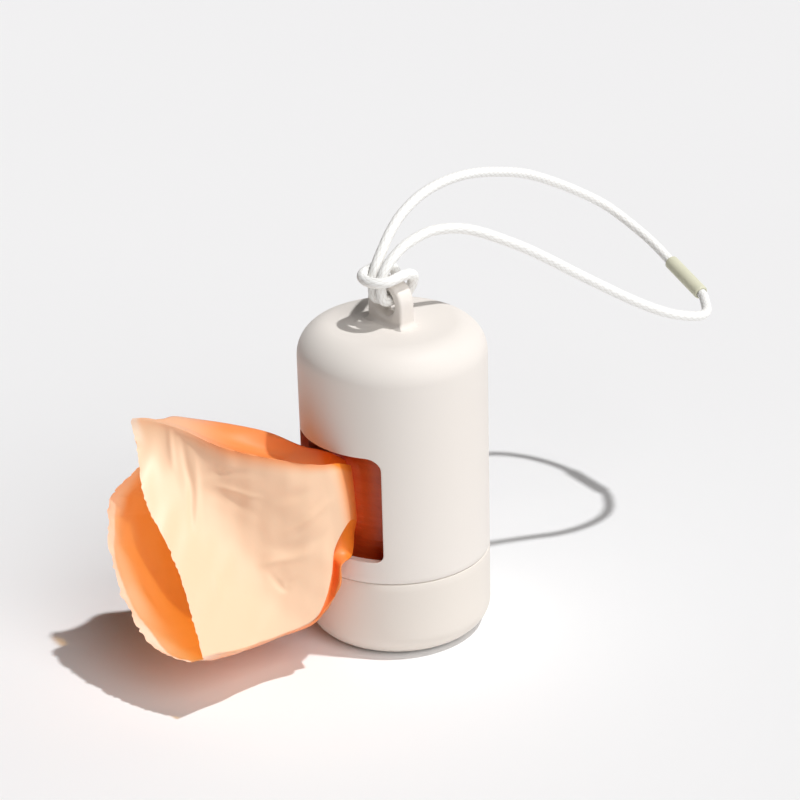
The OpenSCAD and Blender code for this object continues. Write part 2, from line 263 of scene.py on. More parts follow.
def add_piece(name, parts, finish, node, body=None):
    """A mesh object from parts, each (points, quads) or (points, quads, corner UVs), with the
    points that coincide at seams and poles merged. It replaces a node and rides on a body."""
    points = np.concatenate([p[0].reshape(-1, 3) for p in parts])
    starts = np.cumsum([0] + [p[0].size // 3 for p in parts[:-1]])
    quads = np.concatenate([p[1] + s for p, s in zip(parts, starts)])
    mesh = bpy.data.meshes.new(name)
    mesh.from_pydata(points.tolist(), [], quads.tolist())
    if len(parts[0]) > 2:
        uv = np.concatenate([p[2].reshape(-1, 2) for p in parts])
        mesh.uv_layers.new(name="UVMap").uv.foreach_set("vector", uv.astype(np.float32).ravel())
    work = bmesh.new()
    work.from_mesh(mesh)
    bmesh.ops.remove_doubles(work, verts=work.verts, dist=1e-6)
    bmesh.ops.dissolve_degenerate(work, edges=work.edges, dist=1e-7)
    work.to_mesh(mesh)
    work.free()
    mesh.polygons.foreach_set("use_smooth", np.ones(len(mesh.polygons), bool))
    mesh.materials.append(finish.material)
    piece = bpy.data.objects.new(name, mesh)
    scene.collection.objects.link(piece)
    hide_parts(node)
    if body:
        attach(piece, body)
    return piece


def braided_tube(line, places, diameter, sides, strands, pitch, relief):
    """Tube round a line whose surface swells in the lozenges of a braid: two families of
    strands wind round it, one each way, and the relief is high where neither dips."""
    side, upper = tube_frames(line)
    turn = 2 * np.pi * np.arange(sides) / sides
    wave = 2 * np.pi * places[:, None] / pitch
    lozenge = np.abs(np.sin((strands * turn + wave) / 2) * np.sin((strands * turn - wave) / 2))
    radius = diameter / 2 - relief * (1 - np.sqrt(lozenge))
    turn = turn[None, :, None]
    ring = np.cos(turn) * side[:, None] + np.sin(turn) * upper[:, None]
    return line[:, None] + radius[..., None] * ring


cord_line, cord_places = even_line(smooth_line(CORD_ROUTE, 24), CORD_STEP)
cord_points = braided_tube(cord_line, cord_places, CORD_D, CORD_SIDES, STRANDS,
                           BRAID_PITCH * MM, BRAID_RELIEF)
cord_quads, row, col = grid_quads(len(cord_line), CORD_SIDES, close=True)
cord_uv = np.stack([col / CORD_SIDES, cord_places[row] / MM], -1)
# Each cut end is a fan from the middle of the cord to its rim, turned to look outwards
ends = []
for k, flip in ((0, 1), (len(cord_line) - 1, -1)):
    fan = np.stack([np.repeat(cord_line[k][None], CORD_SIDES, 0), cord_points[k]][::flip])
    ends.append((fan, grid_quads(2, CORD_SIDES, close=True)[0], np.zeros((CORD_SIDES, 4, 2))))

# The shader draws the same lozenges as the relief, darker in the grooves between strands: painted
# shade in the grooves
elastic = Finish("white_elastic_braid", Roughness=0.85)
round_cord = elastic.uv_place("X") * (STRANDS * np.pi)
along_cord = elastic.uv_place("Y") * (np.pi / BRAID_PITCH)
left_hand = (round_cord + along_cord).math("SINE").math("ABSOLUTE")
right_hand = (round_cord - along_cord).math("SINE").math("ABSOLUTE")
lozenges = left_hand * right_hand
fibre = elastic.noise(elastic.object_place(), 2600.0)
# The darker colour in the grooves is painted shade; the strands' tops are the cord's own white
elastic.color(elastic.mix(lozenges.between(0.0, 0.35) * (fibre * 0.35 + 0.75),
                          srgb(238, 236, 232), srgb(255, 255, 253)))
elastic.bump(fibre * 0.5 + lozenges, BRAID_BUMP)
carry_cord = add_piece("carry_cord", [(cord_points, cord_quads, cord_uv), *ends], elastic,
                       "cord_loop", "loop")

# ---------------------------------------------------------------------------------------
# Sleeve on the loop: a short moulded tube in sage green, crimped over the cord's two ends,
# with its edges rounded.
# ---------------------------------------------------------------------------------------
SLEEVE_R, SLEEVE_BORE, SLEEVE_EDGE = 1.85 * MM, 1.3 * MM, 0.25 * MM


def turned(profile, turns, line_from=None, line_to=None):
    """Surface of revolution of a profile of (radius, height) points about the Z axis, or about
    the line between two points with height measured along it, from the first point."""
    profile = np.asarray(profile, float)
    turn = 2 * np.pi * np.arange(turns) / turns
    ring = np.stack([np.sin(turn), -np.cos(turn), 0 * turn], 1)
    points = profile[:, 0, None, None] * ring + profile[:, 1, None, None] * [0, 0, 1]
    if line_from is not None:
        axis = (line_to - line_from) / np.linalg.norm(line_to - line_from)
        side, upper = tube_frames(np.array([line_from, line_to]))
        points = line_from + points[..., :1] * side[0] + points[..., 1:2] * upper[0] \
            + points[..., 2:] * axis
    return points, grid_quads(len(profile), turns, close=True)[0]


def arc(center, radius, start, stop, steps):
    """Points on a circle's arc between two angles in degrees."""
    angle = np.radians(np.linspace(start, stop, steps + 1))
    return np.stack([center[0] + radius * np.cos(angle), center[1] + radius * np.sin(angle)], 1)


def line_steps(start, stop, steps):
    """Points on a straight line, without its last."""
    return np.linspace(start, stop, steps + 1)[:-1]


def sleeve_profile():
    """The bore and the outside, joined over both ends by arcs, wider ones at the outside."""
    long, edge = np.linalg.norm(SLEEVE_TO - SLEEVE_FROM), SLEEVE_EDGE
    return np.concatenate([
        arc((SLEEVE_BORE + edge, edge), edge, 180, 270, 4),
        arc((SLEEVE_R - 2 * edge, 2 * edge), 2 * edge, 270, 360, 6),
        arc((SLEEVE_R - 2 * edge, long - 2 * edge), 2 * edge, 0, 90, 6),
        arc((SLEEVE_BORE + edge, long - edge), edge, 90, 180, 4),
        [[SLEEVE_BORE, edge]],
    ])


sage = Finish("sage_moulding", Roughness=0.5, Specular_IOR_Level=0.4)
cloud = sage.noise(sage.object_place(), 160.0, 3.0)
sage.color(sage.mix(cloud, srgb(212, 211, 186), srgb(226, 224, 200)))
sage.bump(sage.noise(sage.object_place(), 900.0), 0.02 * MM)
loop_sleeve = add_piece("loop_sleeve", [turned(sleeve_profile(), 40, SLEEVE_FROM, SLEEVE_TO)],
                        sage, "cord_sleeve", "loop")

# ---------------------------------------------------------------------------------------
# Studio: a pale floor, one hard lamp high on the right, a wide soft one in front, and a dim,
# warm room. The camera, mirrors and glass see a pale backdrop in its place.
# ---------------------------------------------------------------------------------------
FLOOR_REACH = 4.0


def lamp(name, direction, power, spread):
    """White distant lamp that shines from a direction, with its spread in degrees."""
    data = bpy.data.lights.new(name, "SUN")
    data.energy, data.angle = power, np.radians(spread)
    hung = bpy.data.objects.new(name, data)
    scene.collection.objects.link(hung)
    z = np.asarray(direction, float) / np.linalg.norm(direction)
    x = np.cross([0, 0, 1], z)
    x /= np.linalg.norm(x)
    turn = np.eye(4)
    turn[:3, :3] = np.stack([x, np.cross(z, x), z], 1)
    hung.matrix_world = Matrix(turn.tolist())


lamp("hard_lamp", view_to_model([0.41, -0.09, 1.0]), 2.2, 2.0)
lamp("soft_lamp", view_to_model([0.456, -0.65, 0.608]), 1.45, 45.0)
scene.world = bpy.data.worlds.new("room")
room = Nodes(scene.world)
dim_light = room.tree.nodes["Background"]
room.feed(dim_light, "Color", (1.0, 0.86, 0.76, 1.0))
room.feed(dim_light, "Strength", 0.04)
backdrop = room.node("ShaderNodeBackground", None, {"Color": srgb(241, 241, 242)})
seen, mirrored, looked_through = (room.node("ShaderNodeLightPath", out=kind) for kind in (
    "Is Camera Ray", "Is Glossy Ray", "Is Transmission Ray"))
room.feed(room.tree.nodes["World Output"], "Surface", room.node("ShaderNodeMixShader", None, [
    seen + mirrored + looked_through, Socket(room, dim_light.outputs[0]), backdrop]))

paper = Finish("pale_floor", Roughness=0.9, Specular_IOR_Level=0.1)
paper.color(paper.mix(paper.noise(paper.object_place(), 3.0),
                      srgb(243, 243, 244), srgb(246, 246, 247)))
floor_points = FLOOR_REACH * np.array([[-1, -1, 0], [1, -1, 0], [1, 1, 0], [-1, 1, 0]])
floor_mesh = bpy.data.meshes.new("floor")
floor_mesh.from_pydata(floor_points.tolist(), [], [(0, 1, 2, 3)])
floor_mesh.materials.append(paper.material)
floor = bpy.data.objects.new("floor", floor_mesh)
scene.collection.objects.link(floor)
scene.view_settings.view_transform = "Standard"

# ---------------------------------------------------------------------------------------
# Canister shell: the capsule's upper part, one moulding in warm white plastic with a fine
# matt grain. The window is cut straight through its front, with its edges eased, and the lug
# with the eyelet stands on top. It pushes down over the collar of the base cap.
# ---------------------------------------------------------------------------------------
BODY_R, BORE_R, BODY_H, WALL = 22.25, 20.25, 77.4, 2.0
SHOULDER_R, SHELL_Z = 7.5, 20.35
# The seam's outer edge is bevelled in two steps, the bore's mouth in one. The rim's rows end
# in a row a little above it, on both sides.
SEAM_BEVEL, SEAM_STEP, MOUTH_BEVEL, MID_WALL, OVER_RIM = 0.25, 0.08, 0.12, 21.2, 1.25
WINDOW_HALF, WINDOW_LOW, WINDOW_TOP = 14.0, 25.8, 52.3
WINDOW_LOW_R, WINDOW_TOP_R, EASE = 2.0, 3.0, 0.35
# The skin's grid gives way to the window's rings in a block of whole cells, which reaches this
# far in and out from the window's edges. The cells are counted in one corner, side and top.
MARGIN, CORNER_CELLS, SIDE_CELLS, TOP_CELLS = 3.0, 4, 16, 18
# The rings on the skin, from the block inwards: shares of the way to the first offset outline
# of the window, that outline's offset and the next one's
RING_SHARES, OFFSETS = (0, 0.35, 0.7), (1.2, 0.7)
BACK_COLUMNS = 84


def joined_corners(corners):
    """A closed row of points: each corner, then the straight run to the next one."""
    runs = []
    for k, here in enumerate(corners):
        after = corners[(k + 1) % 4]
        cells = TOP_CELLS if k % 2 == 0 else SIDE_CELLS
        runs += [here, np.linspace(here[-1], after[0], cells + 1)[1:-1]]
    return np.concatenate(runs)


def window_outline(grow):
    """Outline of the window, grown by an offset, as (x, z) points that run up its right side
    and on round it: four corner arcs with straight runs between them."""
    top_x, top_z = WINDOW_HALF - WINDOW_TOP_R, WINDOW_TOP - WINDOW_TOP_R
    low_x, low_z = WINDOW_HALF - WINDOW_LOW_R, WINDOW_LOW + WINDOW_LOW_R
    corners = [(top_x, top_z, WINDOW_TOP_R, 0), (-top_x, top_z, WINDOW_TOP_R, 90),
               (-low_x, low_z, WINDOW_LOW_R, 180), (low_x, low_z, WINDOW_LOW_R, 270)]
    return joined_corners([arc((x, z), r + grow, a, a + 90, 2 * CORNER_CELLS)
                           for x, z, r, a in corners])


def window_block():
    """The same number of points on the rectangle of whole grid cells round the window."""
    inner, outer = WINDOW_HALF - MARGIN, WINDOW_HALF + MARGIN
    top_in, top_out = WINDOW_TOP - MARGIN, WINDOW_TOP + MARGIN
    low_in, low_out = WINDOW_LOW + MARGIN, WINDOW_LOW - MARGIN
    turns = [[(outer, top_in), (outer, top_out), (inner, top_out)],
             [(-inner, top_out), (-outer, top_out), (-outer, top_in)],
             [(-outer, low_in), (-outer, low_out), (-inner, low_out)],
             [(inner, low_out), (outer, low_out), (outer, low_in)]]
    return joined_corners([np.concatenate([line_steps(a, b, CORNER_CELLS),
                                           np.linspace(b, c, CORNER_CELLS + 1)])
                           for a, b, c in np.array(turns)])


def on_wall(outline, radius):
    """Puts (x, z) points straight back on the front of a cylinder: y = -sqrt(r^2 - x^2)."""
    x, z = outline.T
    return np.stack([x, -np.sqrt(radius**2 - x**2), z], 1)


def eased(first, corner, last, steps):
    """Quadratic curve that rounds a corner, with its two ends."""
    t = np.linspace(0, 1, steps + 1)[:, None, None]
    return list((1 - t) ** 2 * first + 2 * t * (1 - t) * corner + t**2 * last)


def window_wall():
    """Rings from the outer skin's grid through the window's straight wall to the inner skin's
    grid, with both edges eased."""
    block, near, next_ring = window_block(), *(window_outline(grow) for grow in OFFSETS)
    skin = [block + (near - block) * t for t in RING_SHARES] + [near, next_ring]
    outside = [on_wall(ring, BODY_R) for ring in skin]
    inside = [on_wall(ring, BORE_R) for ring in skin]
    sharp, edge = window_outline(0), window_outline(EASE)
    front, rear = on_wall(sharp, BODY_R), on_wall(sharp, BORE_R)
    depth = np.array([0, EASE, 0])
    wall = eased(on_wall(edge, BODY_R), front, front + depth, 5)
    wall += [front + (rear - front) * t for t in (0.4, 0.6)]
    wall += eased(rear - depth, rear, on_wall(edge, BORE_R), 5)
    rings = outside + wall + inside[::-1]
    return np.array(rings) * MM, grid_quads(len(rings), len(block), close=True)[0]


def shell_profile():
    """Rows of the shell's (radius, height) from the middle of its ceiling, down the bore, round
    the rim and up the outside to the middle of the top; and the first rows of the window's
    block on the bore and on the outside, and how many rows it has."""
    block = np.unique(window_block()[:, 1].round(6))
    high = BODY_H - SHOULDER_R
    ceiling = arc((BODY_R - SHOULDER_R, high), SHOULDER_R - WALL, 90, 0, 10)
    bore = np.concatenate([line_steps([0, BODY_H - WALL], ceiling[0], 5), ceiling[:-1],
                           line_steps([BORE_R, high], [BORE_R, block[-1]], 8),
                           np.stack([0 * block + BORE_R, block[::-1]], 1)])
    rim = [[BORE_R, SHELL_Z + OVER_RIM], [BORE_R, SHELL_Z + MOUTH_BEVEL],
           [BORE_R + MOUTH_BEVEL, SHELL_Z], [MID_WALL, SHELL_Z], [BODY_R - SEAM_BEVEL, SHELL_Z],
           [BODY_R - SEAM_STEP, SHELL_Z + SEAM_STEP], [BODY_R, SHELL_Z + SEAM_BEVEL],
           [BODY_R, SHELL_Z + OVER_RIM]]
    crown = arc((BODY_R - SHOULDER_R, high), SHOULDER_R, 0, 90, 16)
    outside = np.concatenate([np.stack([0 * block + BODY_R, block], 1),
                              np.linspace([BODY_R, block[-1]], [BODY_R, high], 9)[1:-1],
                              crown, np.linspace(crown[-1], [0, BODY_H], 7)[1:]])
    rows = np.concatenate([bore, rim, outside])
    return rows, len(bore) - len(block), len(bore) + len(rim), len(block)


def shell_skin():
    """The revolved skin with the window's block of cells left out on the bore and outside. The
    columns in front stand at the block's own x, on the bore's radius up to the middle of the
    rim and on the outside's from there, and the others share out the rest evenly."""
    profile, bore_row, outer_row, block_rows = shell_profile()
    block_x = np.unique(window_block()[:, 0].round(6))
    rows = []
    for radius in (BORE_R, BODY_R):
        front = np.arcsin(block_x / radius)
        back = np.linspace(front[-1], 2 * np.pi + front[0], BACK_COLUMNS + 1)[1:-1]
        rows.append(np.concatenate([front, back]))
    mid_rim = (bore_row + block_rows + outer_row) // 2
    turn = np.where((np.arange(len(profile)) < mid_rim)[:, None], rows[0], rows[1])
    points = np.stack([profile[:, :1] * np.sin(turn), -profile[:, :1] * np.cos(turn),
                       np.repeat(profile[:, 1:], turn.shape[1], 1)], -1)
    quads, row, col = grid_quads(*turn.shape, close=True)
    hole = np.zeros(len(quads), bool)
    for first in (bore_row, outer_row):
        hole |= (row[:, 0] >= first) & (row[:, 2] < first + block_rows) \
            & (col[:, 1] < len(block_x))
    return points * MM, quads[~hole]


LUG_HALF, LUG_THICK, LUG_SINK, LUG_COLUMNS = 5.7, 4.4, 0.6, 96
# The lug's fillet on the dome, the roundings at its hole and at its outer edge, the strip at
# the edge that the fillet widens, and the rows across its flat side
LUG_FOOT, LIP_R, LUG_EDGE_R, FOOT_STRIP, FLAT_ROWS = 1.1, 0.9, 0.7, 0.9, 3
EYELET_R = 3.2


def eyelet_lug():
    """The lug as a ring of sections round its hole: from the rounded rim of the hole out to an
    arch above and to straight sides that run down into the shell below, where it flares. The
    outline's reach from the hole's middle is half the width above, and below it the lesser of
    the ways to a straight side and to the foot."""
    turn = 2 * np.pi * np.arange(LUG_COLUMNS) / LUG_COLUMNS
    c, s = np.cos(turn), np.sin(turn)
    drop = EYELET[2] - BODY_H + LUG_SINK
    reach = np.where(s >= 0, LUG_HALF, np.minimum(LUG_HALF / np.maximum(np.abs(c), 1e-6),
                                                  drop / np.maximum(-s, 1e-6)))
    half = LUG_THICK / 2
    inner = arc((EYELET_R + LIP_R, half - LIP_R), LIP_R, 180, 90, 7)
    outer = arc((-LUG_EDGE_R, half - LUG_EDGE_R), LUG_EDGE_R, 90, 0, 6)
    inner_r, outer_r = np.repeat(inner[:, :1], LUG_COLUMNS, 1), reach + outer[:, :1]
    share = np.linspace(0, 1, FLAT_ROWS + 2)[1:-1, None]
    radius = np.concatenate([inner_r, inner_r[-1] + (outer_r[0] - inner_r[-1]) * share, outer_r])
    depth = np.concatenate([inner[:, 1], np.full(FLAT_ROWS, half), outer[:, 1]])[:, None] \
        + 0 * radius
    radius, depth = np.concatenate([radius, radius[::-1]]), np.concatenate([-depth, depth[::-1]])
    x, z = radius * c, EYELET[2] + radius * s
    low = np.clip(1 - (z - BODY_H) / LUG_FOOT, 0, 1)
    flare = LUG_FOOT * (1 - np.sqrt(1 - low**2))
    at_side = (reach - radius < FOOT_STRIP) * (np.abs(c) > 0.5)
    on_face = np.clip(radius - EYELET_R - LIP_R, 0, 1)
    points = np.stack([x + np.sign(c) * flare * at_side,
                       depth + np.sign(depth) * flare * on_face, z], -1)
    quads = grid_quads(len(radius) + 1, LUG_COLUMNS, close=True)[0] % radius.size
    return points * MM, quads[:, ::-1]


def matt_plastic(name, pale, deep):
    """Moulded plastic: a near-even colour, a fine spark-eroded grain and a soft gloss."""
    made = Finish(name, Specular_IOR_Level=0.22)
    place = made.object_place()
    made.color(made.mix(made.noise(place, 22.0, 3.0), pale, deep))
    made.roughness(made.noise(place, 60.0) * 0.12 + 0.46)
    made.bump(made.noise(place, 2600.0), 0.012 * MM)
    return made


shell_plastic = matt_plastic("warm_white_plastic", srgb(238, 232, 226), srgb(234, 227, 220))
add_piece("shell", [shell_skin(), window_wall(), eyelet_lug()], shell_plastic,
          "canister_shell", "shell")

# ---------------------------------------------------------------------------------------
# Base cap: the capsule's foot, moulded in the same plastic, with the thin collar that the
# shell is pushed down over and a floor that the roll stands on.
# ---------------------------------------------------------------------------------------
FOOT_R, FLOOR_T, SEAM_Z, COLLAR_TOP = 6.0, 2.2, 20.2, 23.7
# The collar is thinner than the cap's wall and just clears the shell's bore. Below it the cap's
# own bore steps out again over a small ledge.
COLLAR_OUT = BORE_R - 0.08
COLLAR_IN = COLLAR_OUT - 1.4
COLLAR_EDGE, COLLAR_ROOT, FLOOR_R = 0.35, 0.1, 4
LEDGE = [[COLLAR_IN, 19], [COLLAR_IN, 17.6], [COLLAR_IN + 0.2, 17.3], [BORE_R - 0.15, 17.15],
         [BORE_R, 16.9]]


def cap_profile():
    """The cap's (radius, height) from the middle underneath, round the foot, up to the seam,
    over the collar and down the bore to the middle of the floor."""
    collar_z = COLLAR_TOP - COLLAR_EDGE
    return np.concatenate([
        line_steps([0, 0], [BODY_R - FOOT_R, 0], 6),
        arc((BODY_R - FOOT_R, FOOT_R), FOOT_R, 270, 360, 14),
        np.linspace([BODY_R, FOOT_R], [BODY_R, SEAM_Z - SEAM_BEVEL], 8)[1:],
        [[BODY_R - SEAM_STEP, SEAM_Z - SEAM_STEP], [BODY_R - SEAM_BEVEL, SEAM_Z],
         [MID_WALL, SEAM_Z], [COLLAR_OUT + COLLAR_ROOT, SEAM_Z],
         [COLLAR_OUT, SEAM_Z + COLLAR_ROOT]],
        arc((COLLAR_OUT - COLLAR_EDGE, collar_z), COLLAR_EDGE, 0, 90, 4),
        arc((COLLAR_IN + COLLAR_EDGE, collar_z), COLLAR_EDGE, 90, 180, 4),
        LEDGE, line_steps([BORE_R, 16], [BORE_R, FLOOR_T + FLOOR_R], 5),
        arc((BORE_R - FLOOR_R, FLOOR_T + FLOOR_R), FLOOR_R, 360, 270, 8),
        np.linspace([BORE_R - FLOOR_R, FLOOR_T], [0, FLOOR_T], 6)[1:],
    ]) * MM


cap_plastic = matt_plastic("warm_white_cap_plastic", srgb(234, 227, 219), srgb(230, 222, 213))
add_piece("cap", [turned(cap_profile(), 144)], cap_plastic, "base_cap", "base")

# ---------------------------------------------------------------------------------------
# Bag roll: folded film wound on the core, turn on turn. The edges of the turns show on both
# ends as fine rings, and the winding is never quite even.
# ---------------------------------------------------------------------------------------
ROLL_R, ROLL_Z, ROLL_H, CORE_R = 16.0, 2.5, 58.0, 9.05
ROLL_TURNS, ROLL_EDGE, ROLL_INSET = 144, 0.3, 0.2
# Waves in the ends across the turns, as height, steepness and phase
END_WAVES = [(0.09, 7.3, 0), (0.06, 17.1, 1), (0.05, 3.1, 0)]


def wound_roll():
    """Ring of wound film: its ends step up and down by hundredths of a millimetre from turn to
    turn, a sum of sines of the radius, and its outside swells where the folds lie under it, a
    sum of sines of the angle and the height that fades towards the core."""
    end = np.linspace(CORE_R, ROLL_R - ROLL_EDGE, 56)
    step = sum(height * np.sin(end * steep + phase) for height, steep, phase in END_WAVES)
    side = np.linspace(ROLL_EDGE, ROLL_H - ROLL_EDGE, 40)
    low, high = ROLL_Z + ROLL_INSET, ROLL_Z + ROLL_H - ROLL_INSET
    profile = np.concatenate([
        np.stack([end, low + step], 1),
        arc((ROLL_R - ROLL_EDGE, low + ROLL_EDGE), ROLL_EDGE, 300, 350, 3),
        np.stack([0 * side + ROLL_R, ROLL_Z + side], 1),
        arc((ROLL_R - ROLL_EDGE, high - ROLL_EDGE), ROLL_EDGE, 10, 60, 3),
        np.stack([end, high + step], 1)[::-1],
        [[CORE_R, ROLL_Z + ROLL_H / 2], [CORE_R, low + step[0]]]])
    points, quads = turned(profile, ROLL_TURNS)
    angle = 2 * np.pi * np.arange(ROLL_TURNS) / ROLL_TURNS
    z = points[..., 2]
    outer = np.clip((profile[:, 0] - 12) / 4, 0, 1)[:, None]
    swell = 0.12 * np.sin(3 * angle + z * 0.11) + 0.07 * np.sin(7 * angle - z * 0.31) \
        + 0.05 * np.sin(z * 1.9 + 2 * angle) - 0.2
    points[..., :2] *= 1 + (outer * swell / ROLL_R)[..., None]
    return points * MM, quads


# The grain lies flat round the roll, because the noise is much finer in height
film_roll = Finish("wound_orange_film", Roughness=0.38, Specular_IOR_Level=0.5)
# Its brick red is deeper than the drawn film's: partly the colour of many wound layers, partly
# painted shade from inside the closed capsule
film_roll.color(film_roll.mix(film_roll.stretched_noise((30, 30, 700), 1.0, 3.0),
                              srgb(196, 76, 26), srgb(212, 94, 38)))
film_roll.bump(film_roll.stretched_noise((30, 30, 700), 1.6, 2.0), 0.15 * MM)
add_piece("roll", [wound_roll()], film_roll, "bag_roll", "roll")

# ---------------------------------------------------------------------------------------
# Core: a tube of brown cardboard, wound in a spiral from strips, glued and cut to the roll's
# length. It is hidden while the capsule is closed.
# ---------------------------------------------------------------------------------------
CORE_BORE, CORE_EDGE, CORE_GAP = 8.0, 0.15, 0.05


def core_profile():
    """The tube's (radius, height) up its outside and down its bore, with bevelled ends and two
    rows between them."""
    out, high = CORE_R - CORE_GAP, ROLL_H - CORE_EDGE
    return np.array([
        [CORE_BORE, CORE_EDGE], [CORE_BORE + CORE_EDGE, 0], [out - CORE_EDGE, 0],
        [out, CORE_EDGE], [out, 20], [out, 40], [out, high], [out - CORE_EDGE, ROLL_H],
        [CORE_BORE + CORE_EDGE, ROLL_H], [CORE_BORE, high], [CORE_BORE, 40], [CORE_BORE, 20],
        [CORE_BORE, CORE_EDGE]]) + [0, ROLL_Z]


card = Finish("brown_card", Roughness=0.9, Specular_IOR_Level=0.2)
fibres = card.stretched_noise((1, 1, 6), 240.0, 4.0)
card.color(card.mix(fibres, srgb(150, 118, 84), srgb(188, 156, 120)))
card.bump(fibres, 0.05 * MM)
add_piece("core", [turned(core_profile() * MM, 96)], card, "roll_core", "roll")

# ---------------------------------------------------------------------------------------
# Drawn bag: a tube of thin orange film, 58 mm wide when flat. It leaves the roll gathered,
# passes the window and opens out to its torn mouth: the front panel is pulled tight and
# creased, tucks run behind its two folded edges, and the back panel bellies out below.
# ---------------------------------------------------------------------------------------
WINDOW_SILL = np.array([0, -BODY_R, WINDOW_LOW])
# Rows from the roll to the mouth, measured from the middle of the window's sill: the front
# panel's lower and upper edge, the bottom of the tuck behind the upper edge, the back panel's
# upper and lower edge, the bottom of the lower tuck, and how far the back panel bellies.
BAG_ROWS = np.array([
    [[4.6, 5.55, 7.7], [3.4, 5.4, 21.7], [2.4, 5.45, 20.7], [1.2, 5.65, 22], [3.6, 5.55, 4.2],
     [4.2, 5.5, 6], [-4, 0.2, 0]],
    [[8.5, -0.25, 10.8], [6.6, -1.5, 25.5], [2.2, 1.6, 20.4], [0.7, 1.8, 25.1], [8.1, 0.7, 1.7],
     [6.4, 1.2, 5.1], [-8.5, 1, -2]],
    [[7.9, -4.3, 5.1], [5.3, -6.2, 26.3], [-0.5, -3.8, 20.7], [-7, 1.6, 24.3], [10.2, -4.3, 1.6],
     [6, -3.2, 2.2], [-8.5, 2, -5]],
    [[8.9, -6.8, -1.6], [-0.7, -13.5, 28.2], [-8.5, -6.8, 22.5], [-17.6, -1.3, 24.9],
     [10.3, -5.6, -3.8], [7, -4.8, -2.6], [-10, 4, -10]],
    [[8.3, -11.3, -10.2], [-11, -20.8, 30.4], [-17, -12.8, 25.2], [-27.8, -7.4, 26.8],
     [7.6, -10, -11.4], [7.4, -10.6, -10.4], [-13, 5, -15]],
    [[5.6, -19.1, -12.2], [-21, -24.5, 32.9], [-25.5, -19.5, 29.6], [-33.8, -15.1, 28.7],
     [4.6, -17.8, -13], [4.9, -18.3, -12.4], [-14.5, 4, -18]],
    [[5.4, -29.8, -11.4], [-28.6, -27.5, 33.6], [-30.2, -26, 32.2], [-31.9, -24.8, 31.8],
     [4.5, -28.8, -12.6], [4.9, -29.2, -12], [-14, -0.8, -16.6]],
    [[5.5, -42.2, -9], [-32.7, -29.9, 33], [-33, -29.3, 32.4], [-33.6, -29, 31.8],
     [4.6, -41.4, -10.2], [5, -41.7, -9.6], [-6.9, -9.5, -10.8]],
])
# Outline of the back panel at the mouth, as shares of its width and of its depth
BELLY = np.array([
    [0, 0], [0.1, 0.02], [0.17, 0.09], [0.178, 0.4], [0.186, 0.68], [0.235, 0.87], [0.34, 0.97],
    [0.45, 1], [0.55, 0.98], [0.655, 0.92], [0.755, 0.81], [0.855, 0.64], [0.93, 0.44],
    [0.98, 0.22], [1, 0],
])
PANEL_FACING = np.array([0.7, -0.1, 0.7]) / np.linalg.norm([0.7, -0.1, 0.7])
# How high the front panel arches between its edges, at the roll and at the mouth
ARCH_FROM, ARCH_TO = 0.3, 3.0
# Where the front panel's torn edge is drawn out: by how much, its place and half width as
# shares of the panel's width. It starts at this share of the way to the mouth.
DRAWN_OUT, DRAWN_FROM = [(3.4, 0.66, 0.2), (0.6, 0.35, 0.22)], 0.72
# The torn edges' teeth on the front and the back panel, as height and share of the way; and
# the random waves of the film on the front and elsewhere, as height and longest and shortest
FRONT_TEETH, BACK_TEETH = (0.14, 0.955), (0.3, 0.96)
FRONT_WAVES, OTHER_WAVES = (0.09, 16.0, 6.0), (0.4, 20.0, 7.0)
# The back panel opens from a round to the belly's outline from this share of the way on, and
# the crumple grows between these two shares
OPENS_FROM, CRUMPLE_FROM, CRUMPLE_TO = 0.4, 0.16, 0.36
# Rows between two given ones, and columns of the front panel, tuck, back panel and lower tuck
ROWS_PER_SPAN = 26
FRONT, TUCK, BACK, UNDER = 140, 40, 112, 20
# Creases of the front panel: height and half width in millimetres, and their course as shares
# of the way from the roll to the mouth and from the lower edge to the upper one.
CREASES = [
    (0.2625, 0.7, [[0.769, 0.986], [0.83, 0.836], [0.852, 0.764]]),
    (0.225, 0.7, [[0.753, 0.986], [0.709, 0.971], [0.654, 0.97], [0.61, 0.95]]),
    (-0.3375, 0.8, [[0.736, 0.95], [0.78, 0.814], [0.813, 0.679], [0.857, 0.564], [0.89, 0.486]]),
    (0.1875, 0.7, [[0.72, 0.864], [0.791, 0.679], [0.868, 0.5]]),
    (-0.225, 1.0, [[0.747, 0.743], [0.632, 0.814], [0.505, 0.857]]),
    (0.2625, 0.7, [[0.714, 0.707], [0.626, 0.714], [0.538, 0.693]]),
    (-0.2625, 1.5, [[0.753, 0.679], [0.703, 0.657], [0.626, 0.621], [0.588, 0.564]]),
    (0.375, 1.0, [[0.538, 0.464], [0.429, 0.471], [0.308, 0.529], [0.242, 0.557]]),
    (-0.3375, 1.6, [[0.643, 0.421], [0.544, 0.379], [0.434, 0.314], [0.324, 0.279]]),
    (0.2625, 0.9, [[0.692, 0.321], [0.582, 0.336], [0.478, 0.286]]),
    (-0.2625, 0.8, [[0.665, 0.286], [0.654, 0.229], [0.637, 0.193], [0.61, 0.214], [0.566, 0.229]]),
    (0.1875, 1.0, [[0.868, 0.307], [0.879, 0.25], [0.89, 0.2]]),
    (-0.2625, 1.5, [[0.5, 0.671], [0.407, 0.686], [0.335, 0.714]]),
]


def shares(steps):
    """Even shares of the way across a panel, without the last."""
    return (np.arange(steps) / steps)[None, :, None]


def tucked(edge, bottom, other, t):
    """Quadratic curve from one edge through the bottom of a tuck, at t = 1/2, to the other."""
    return (1 - t) ** 2 * edge + 2 * t * (1 - t) * (2 * bottom - (edge + other) / 2) + t**2 * other


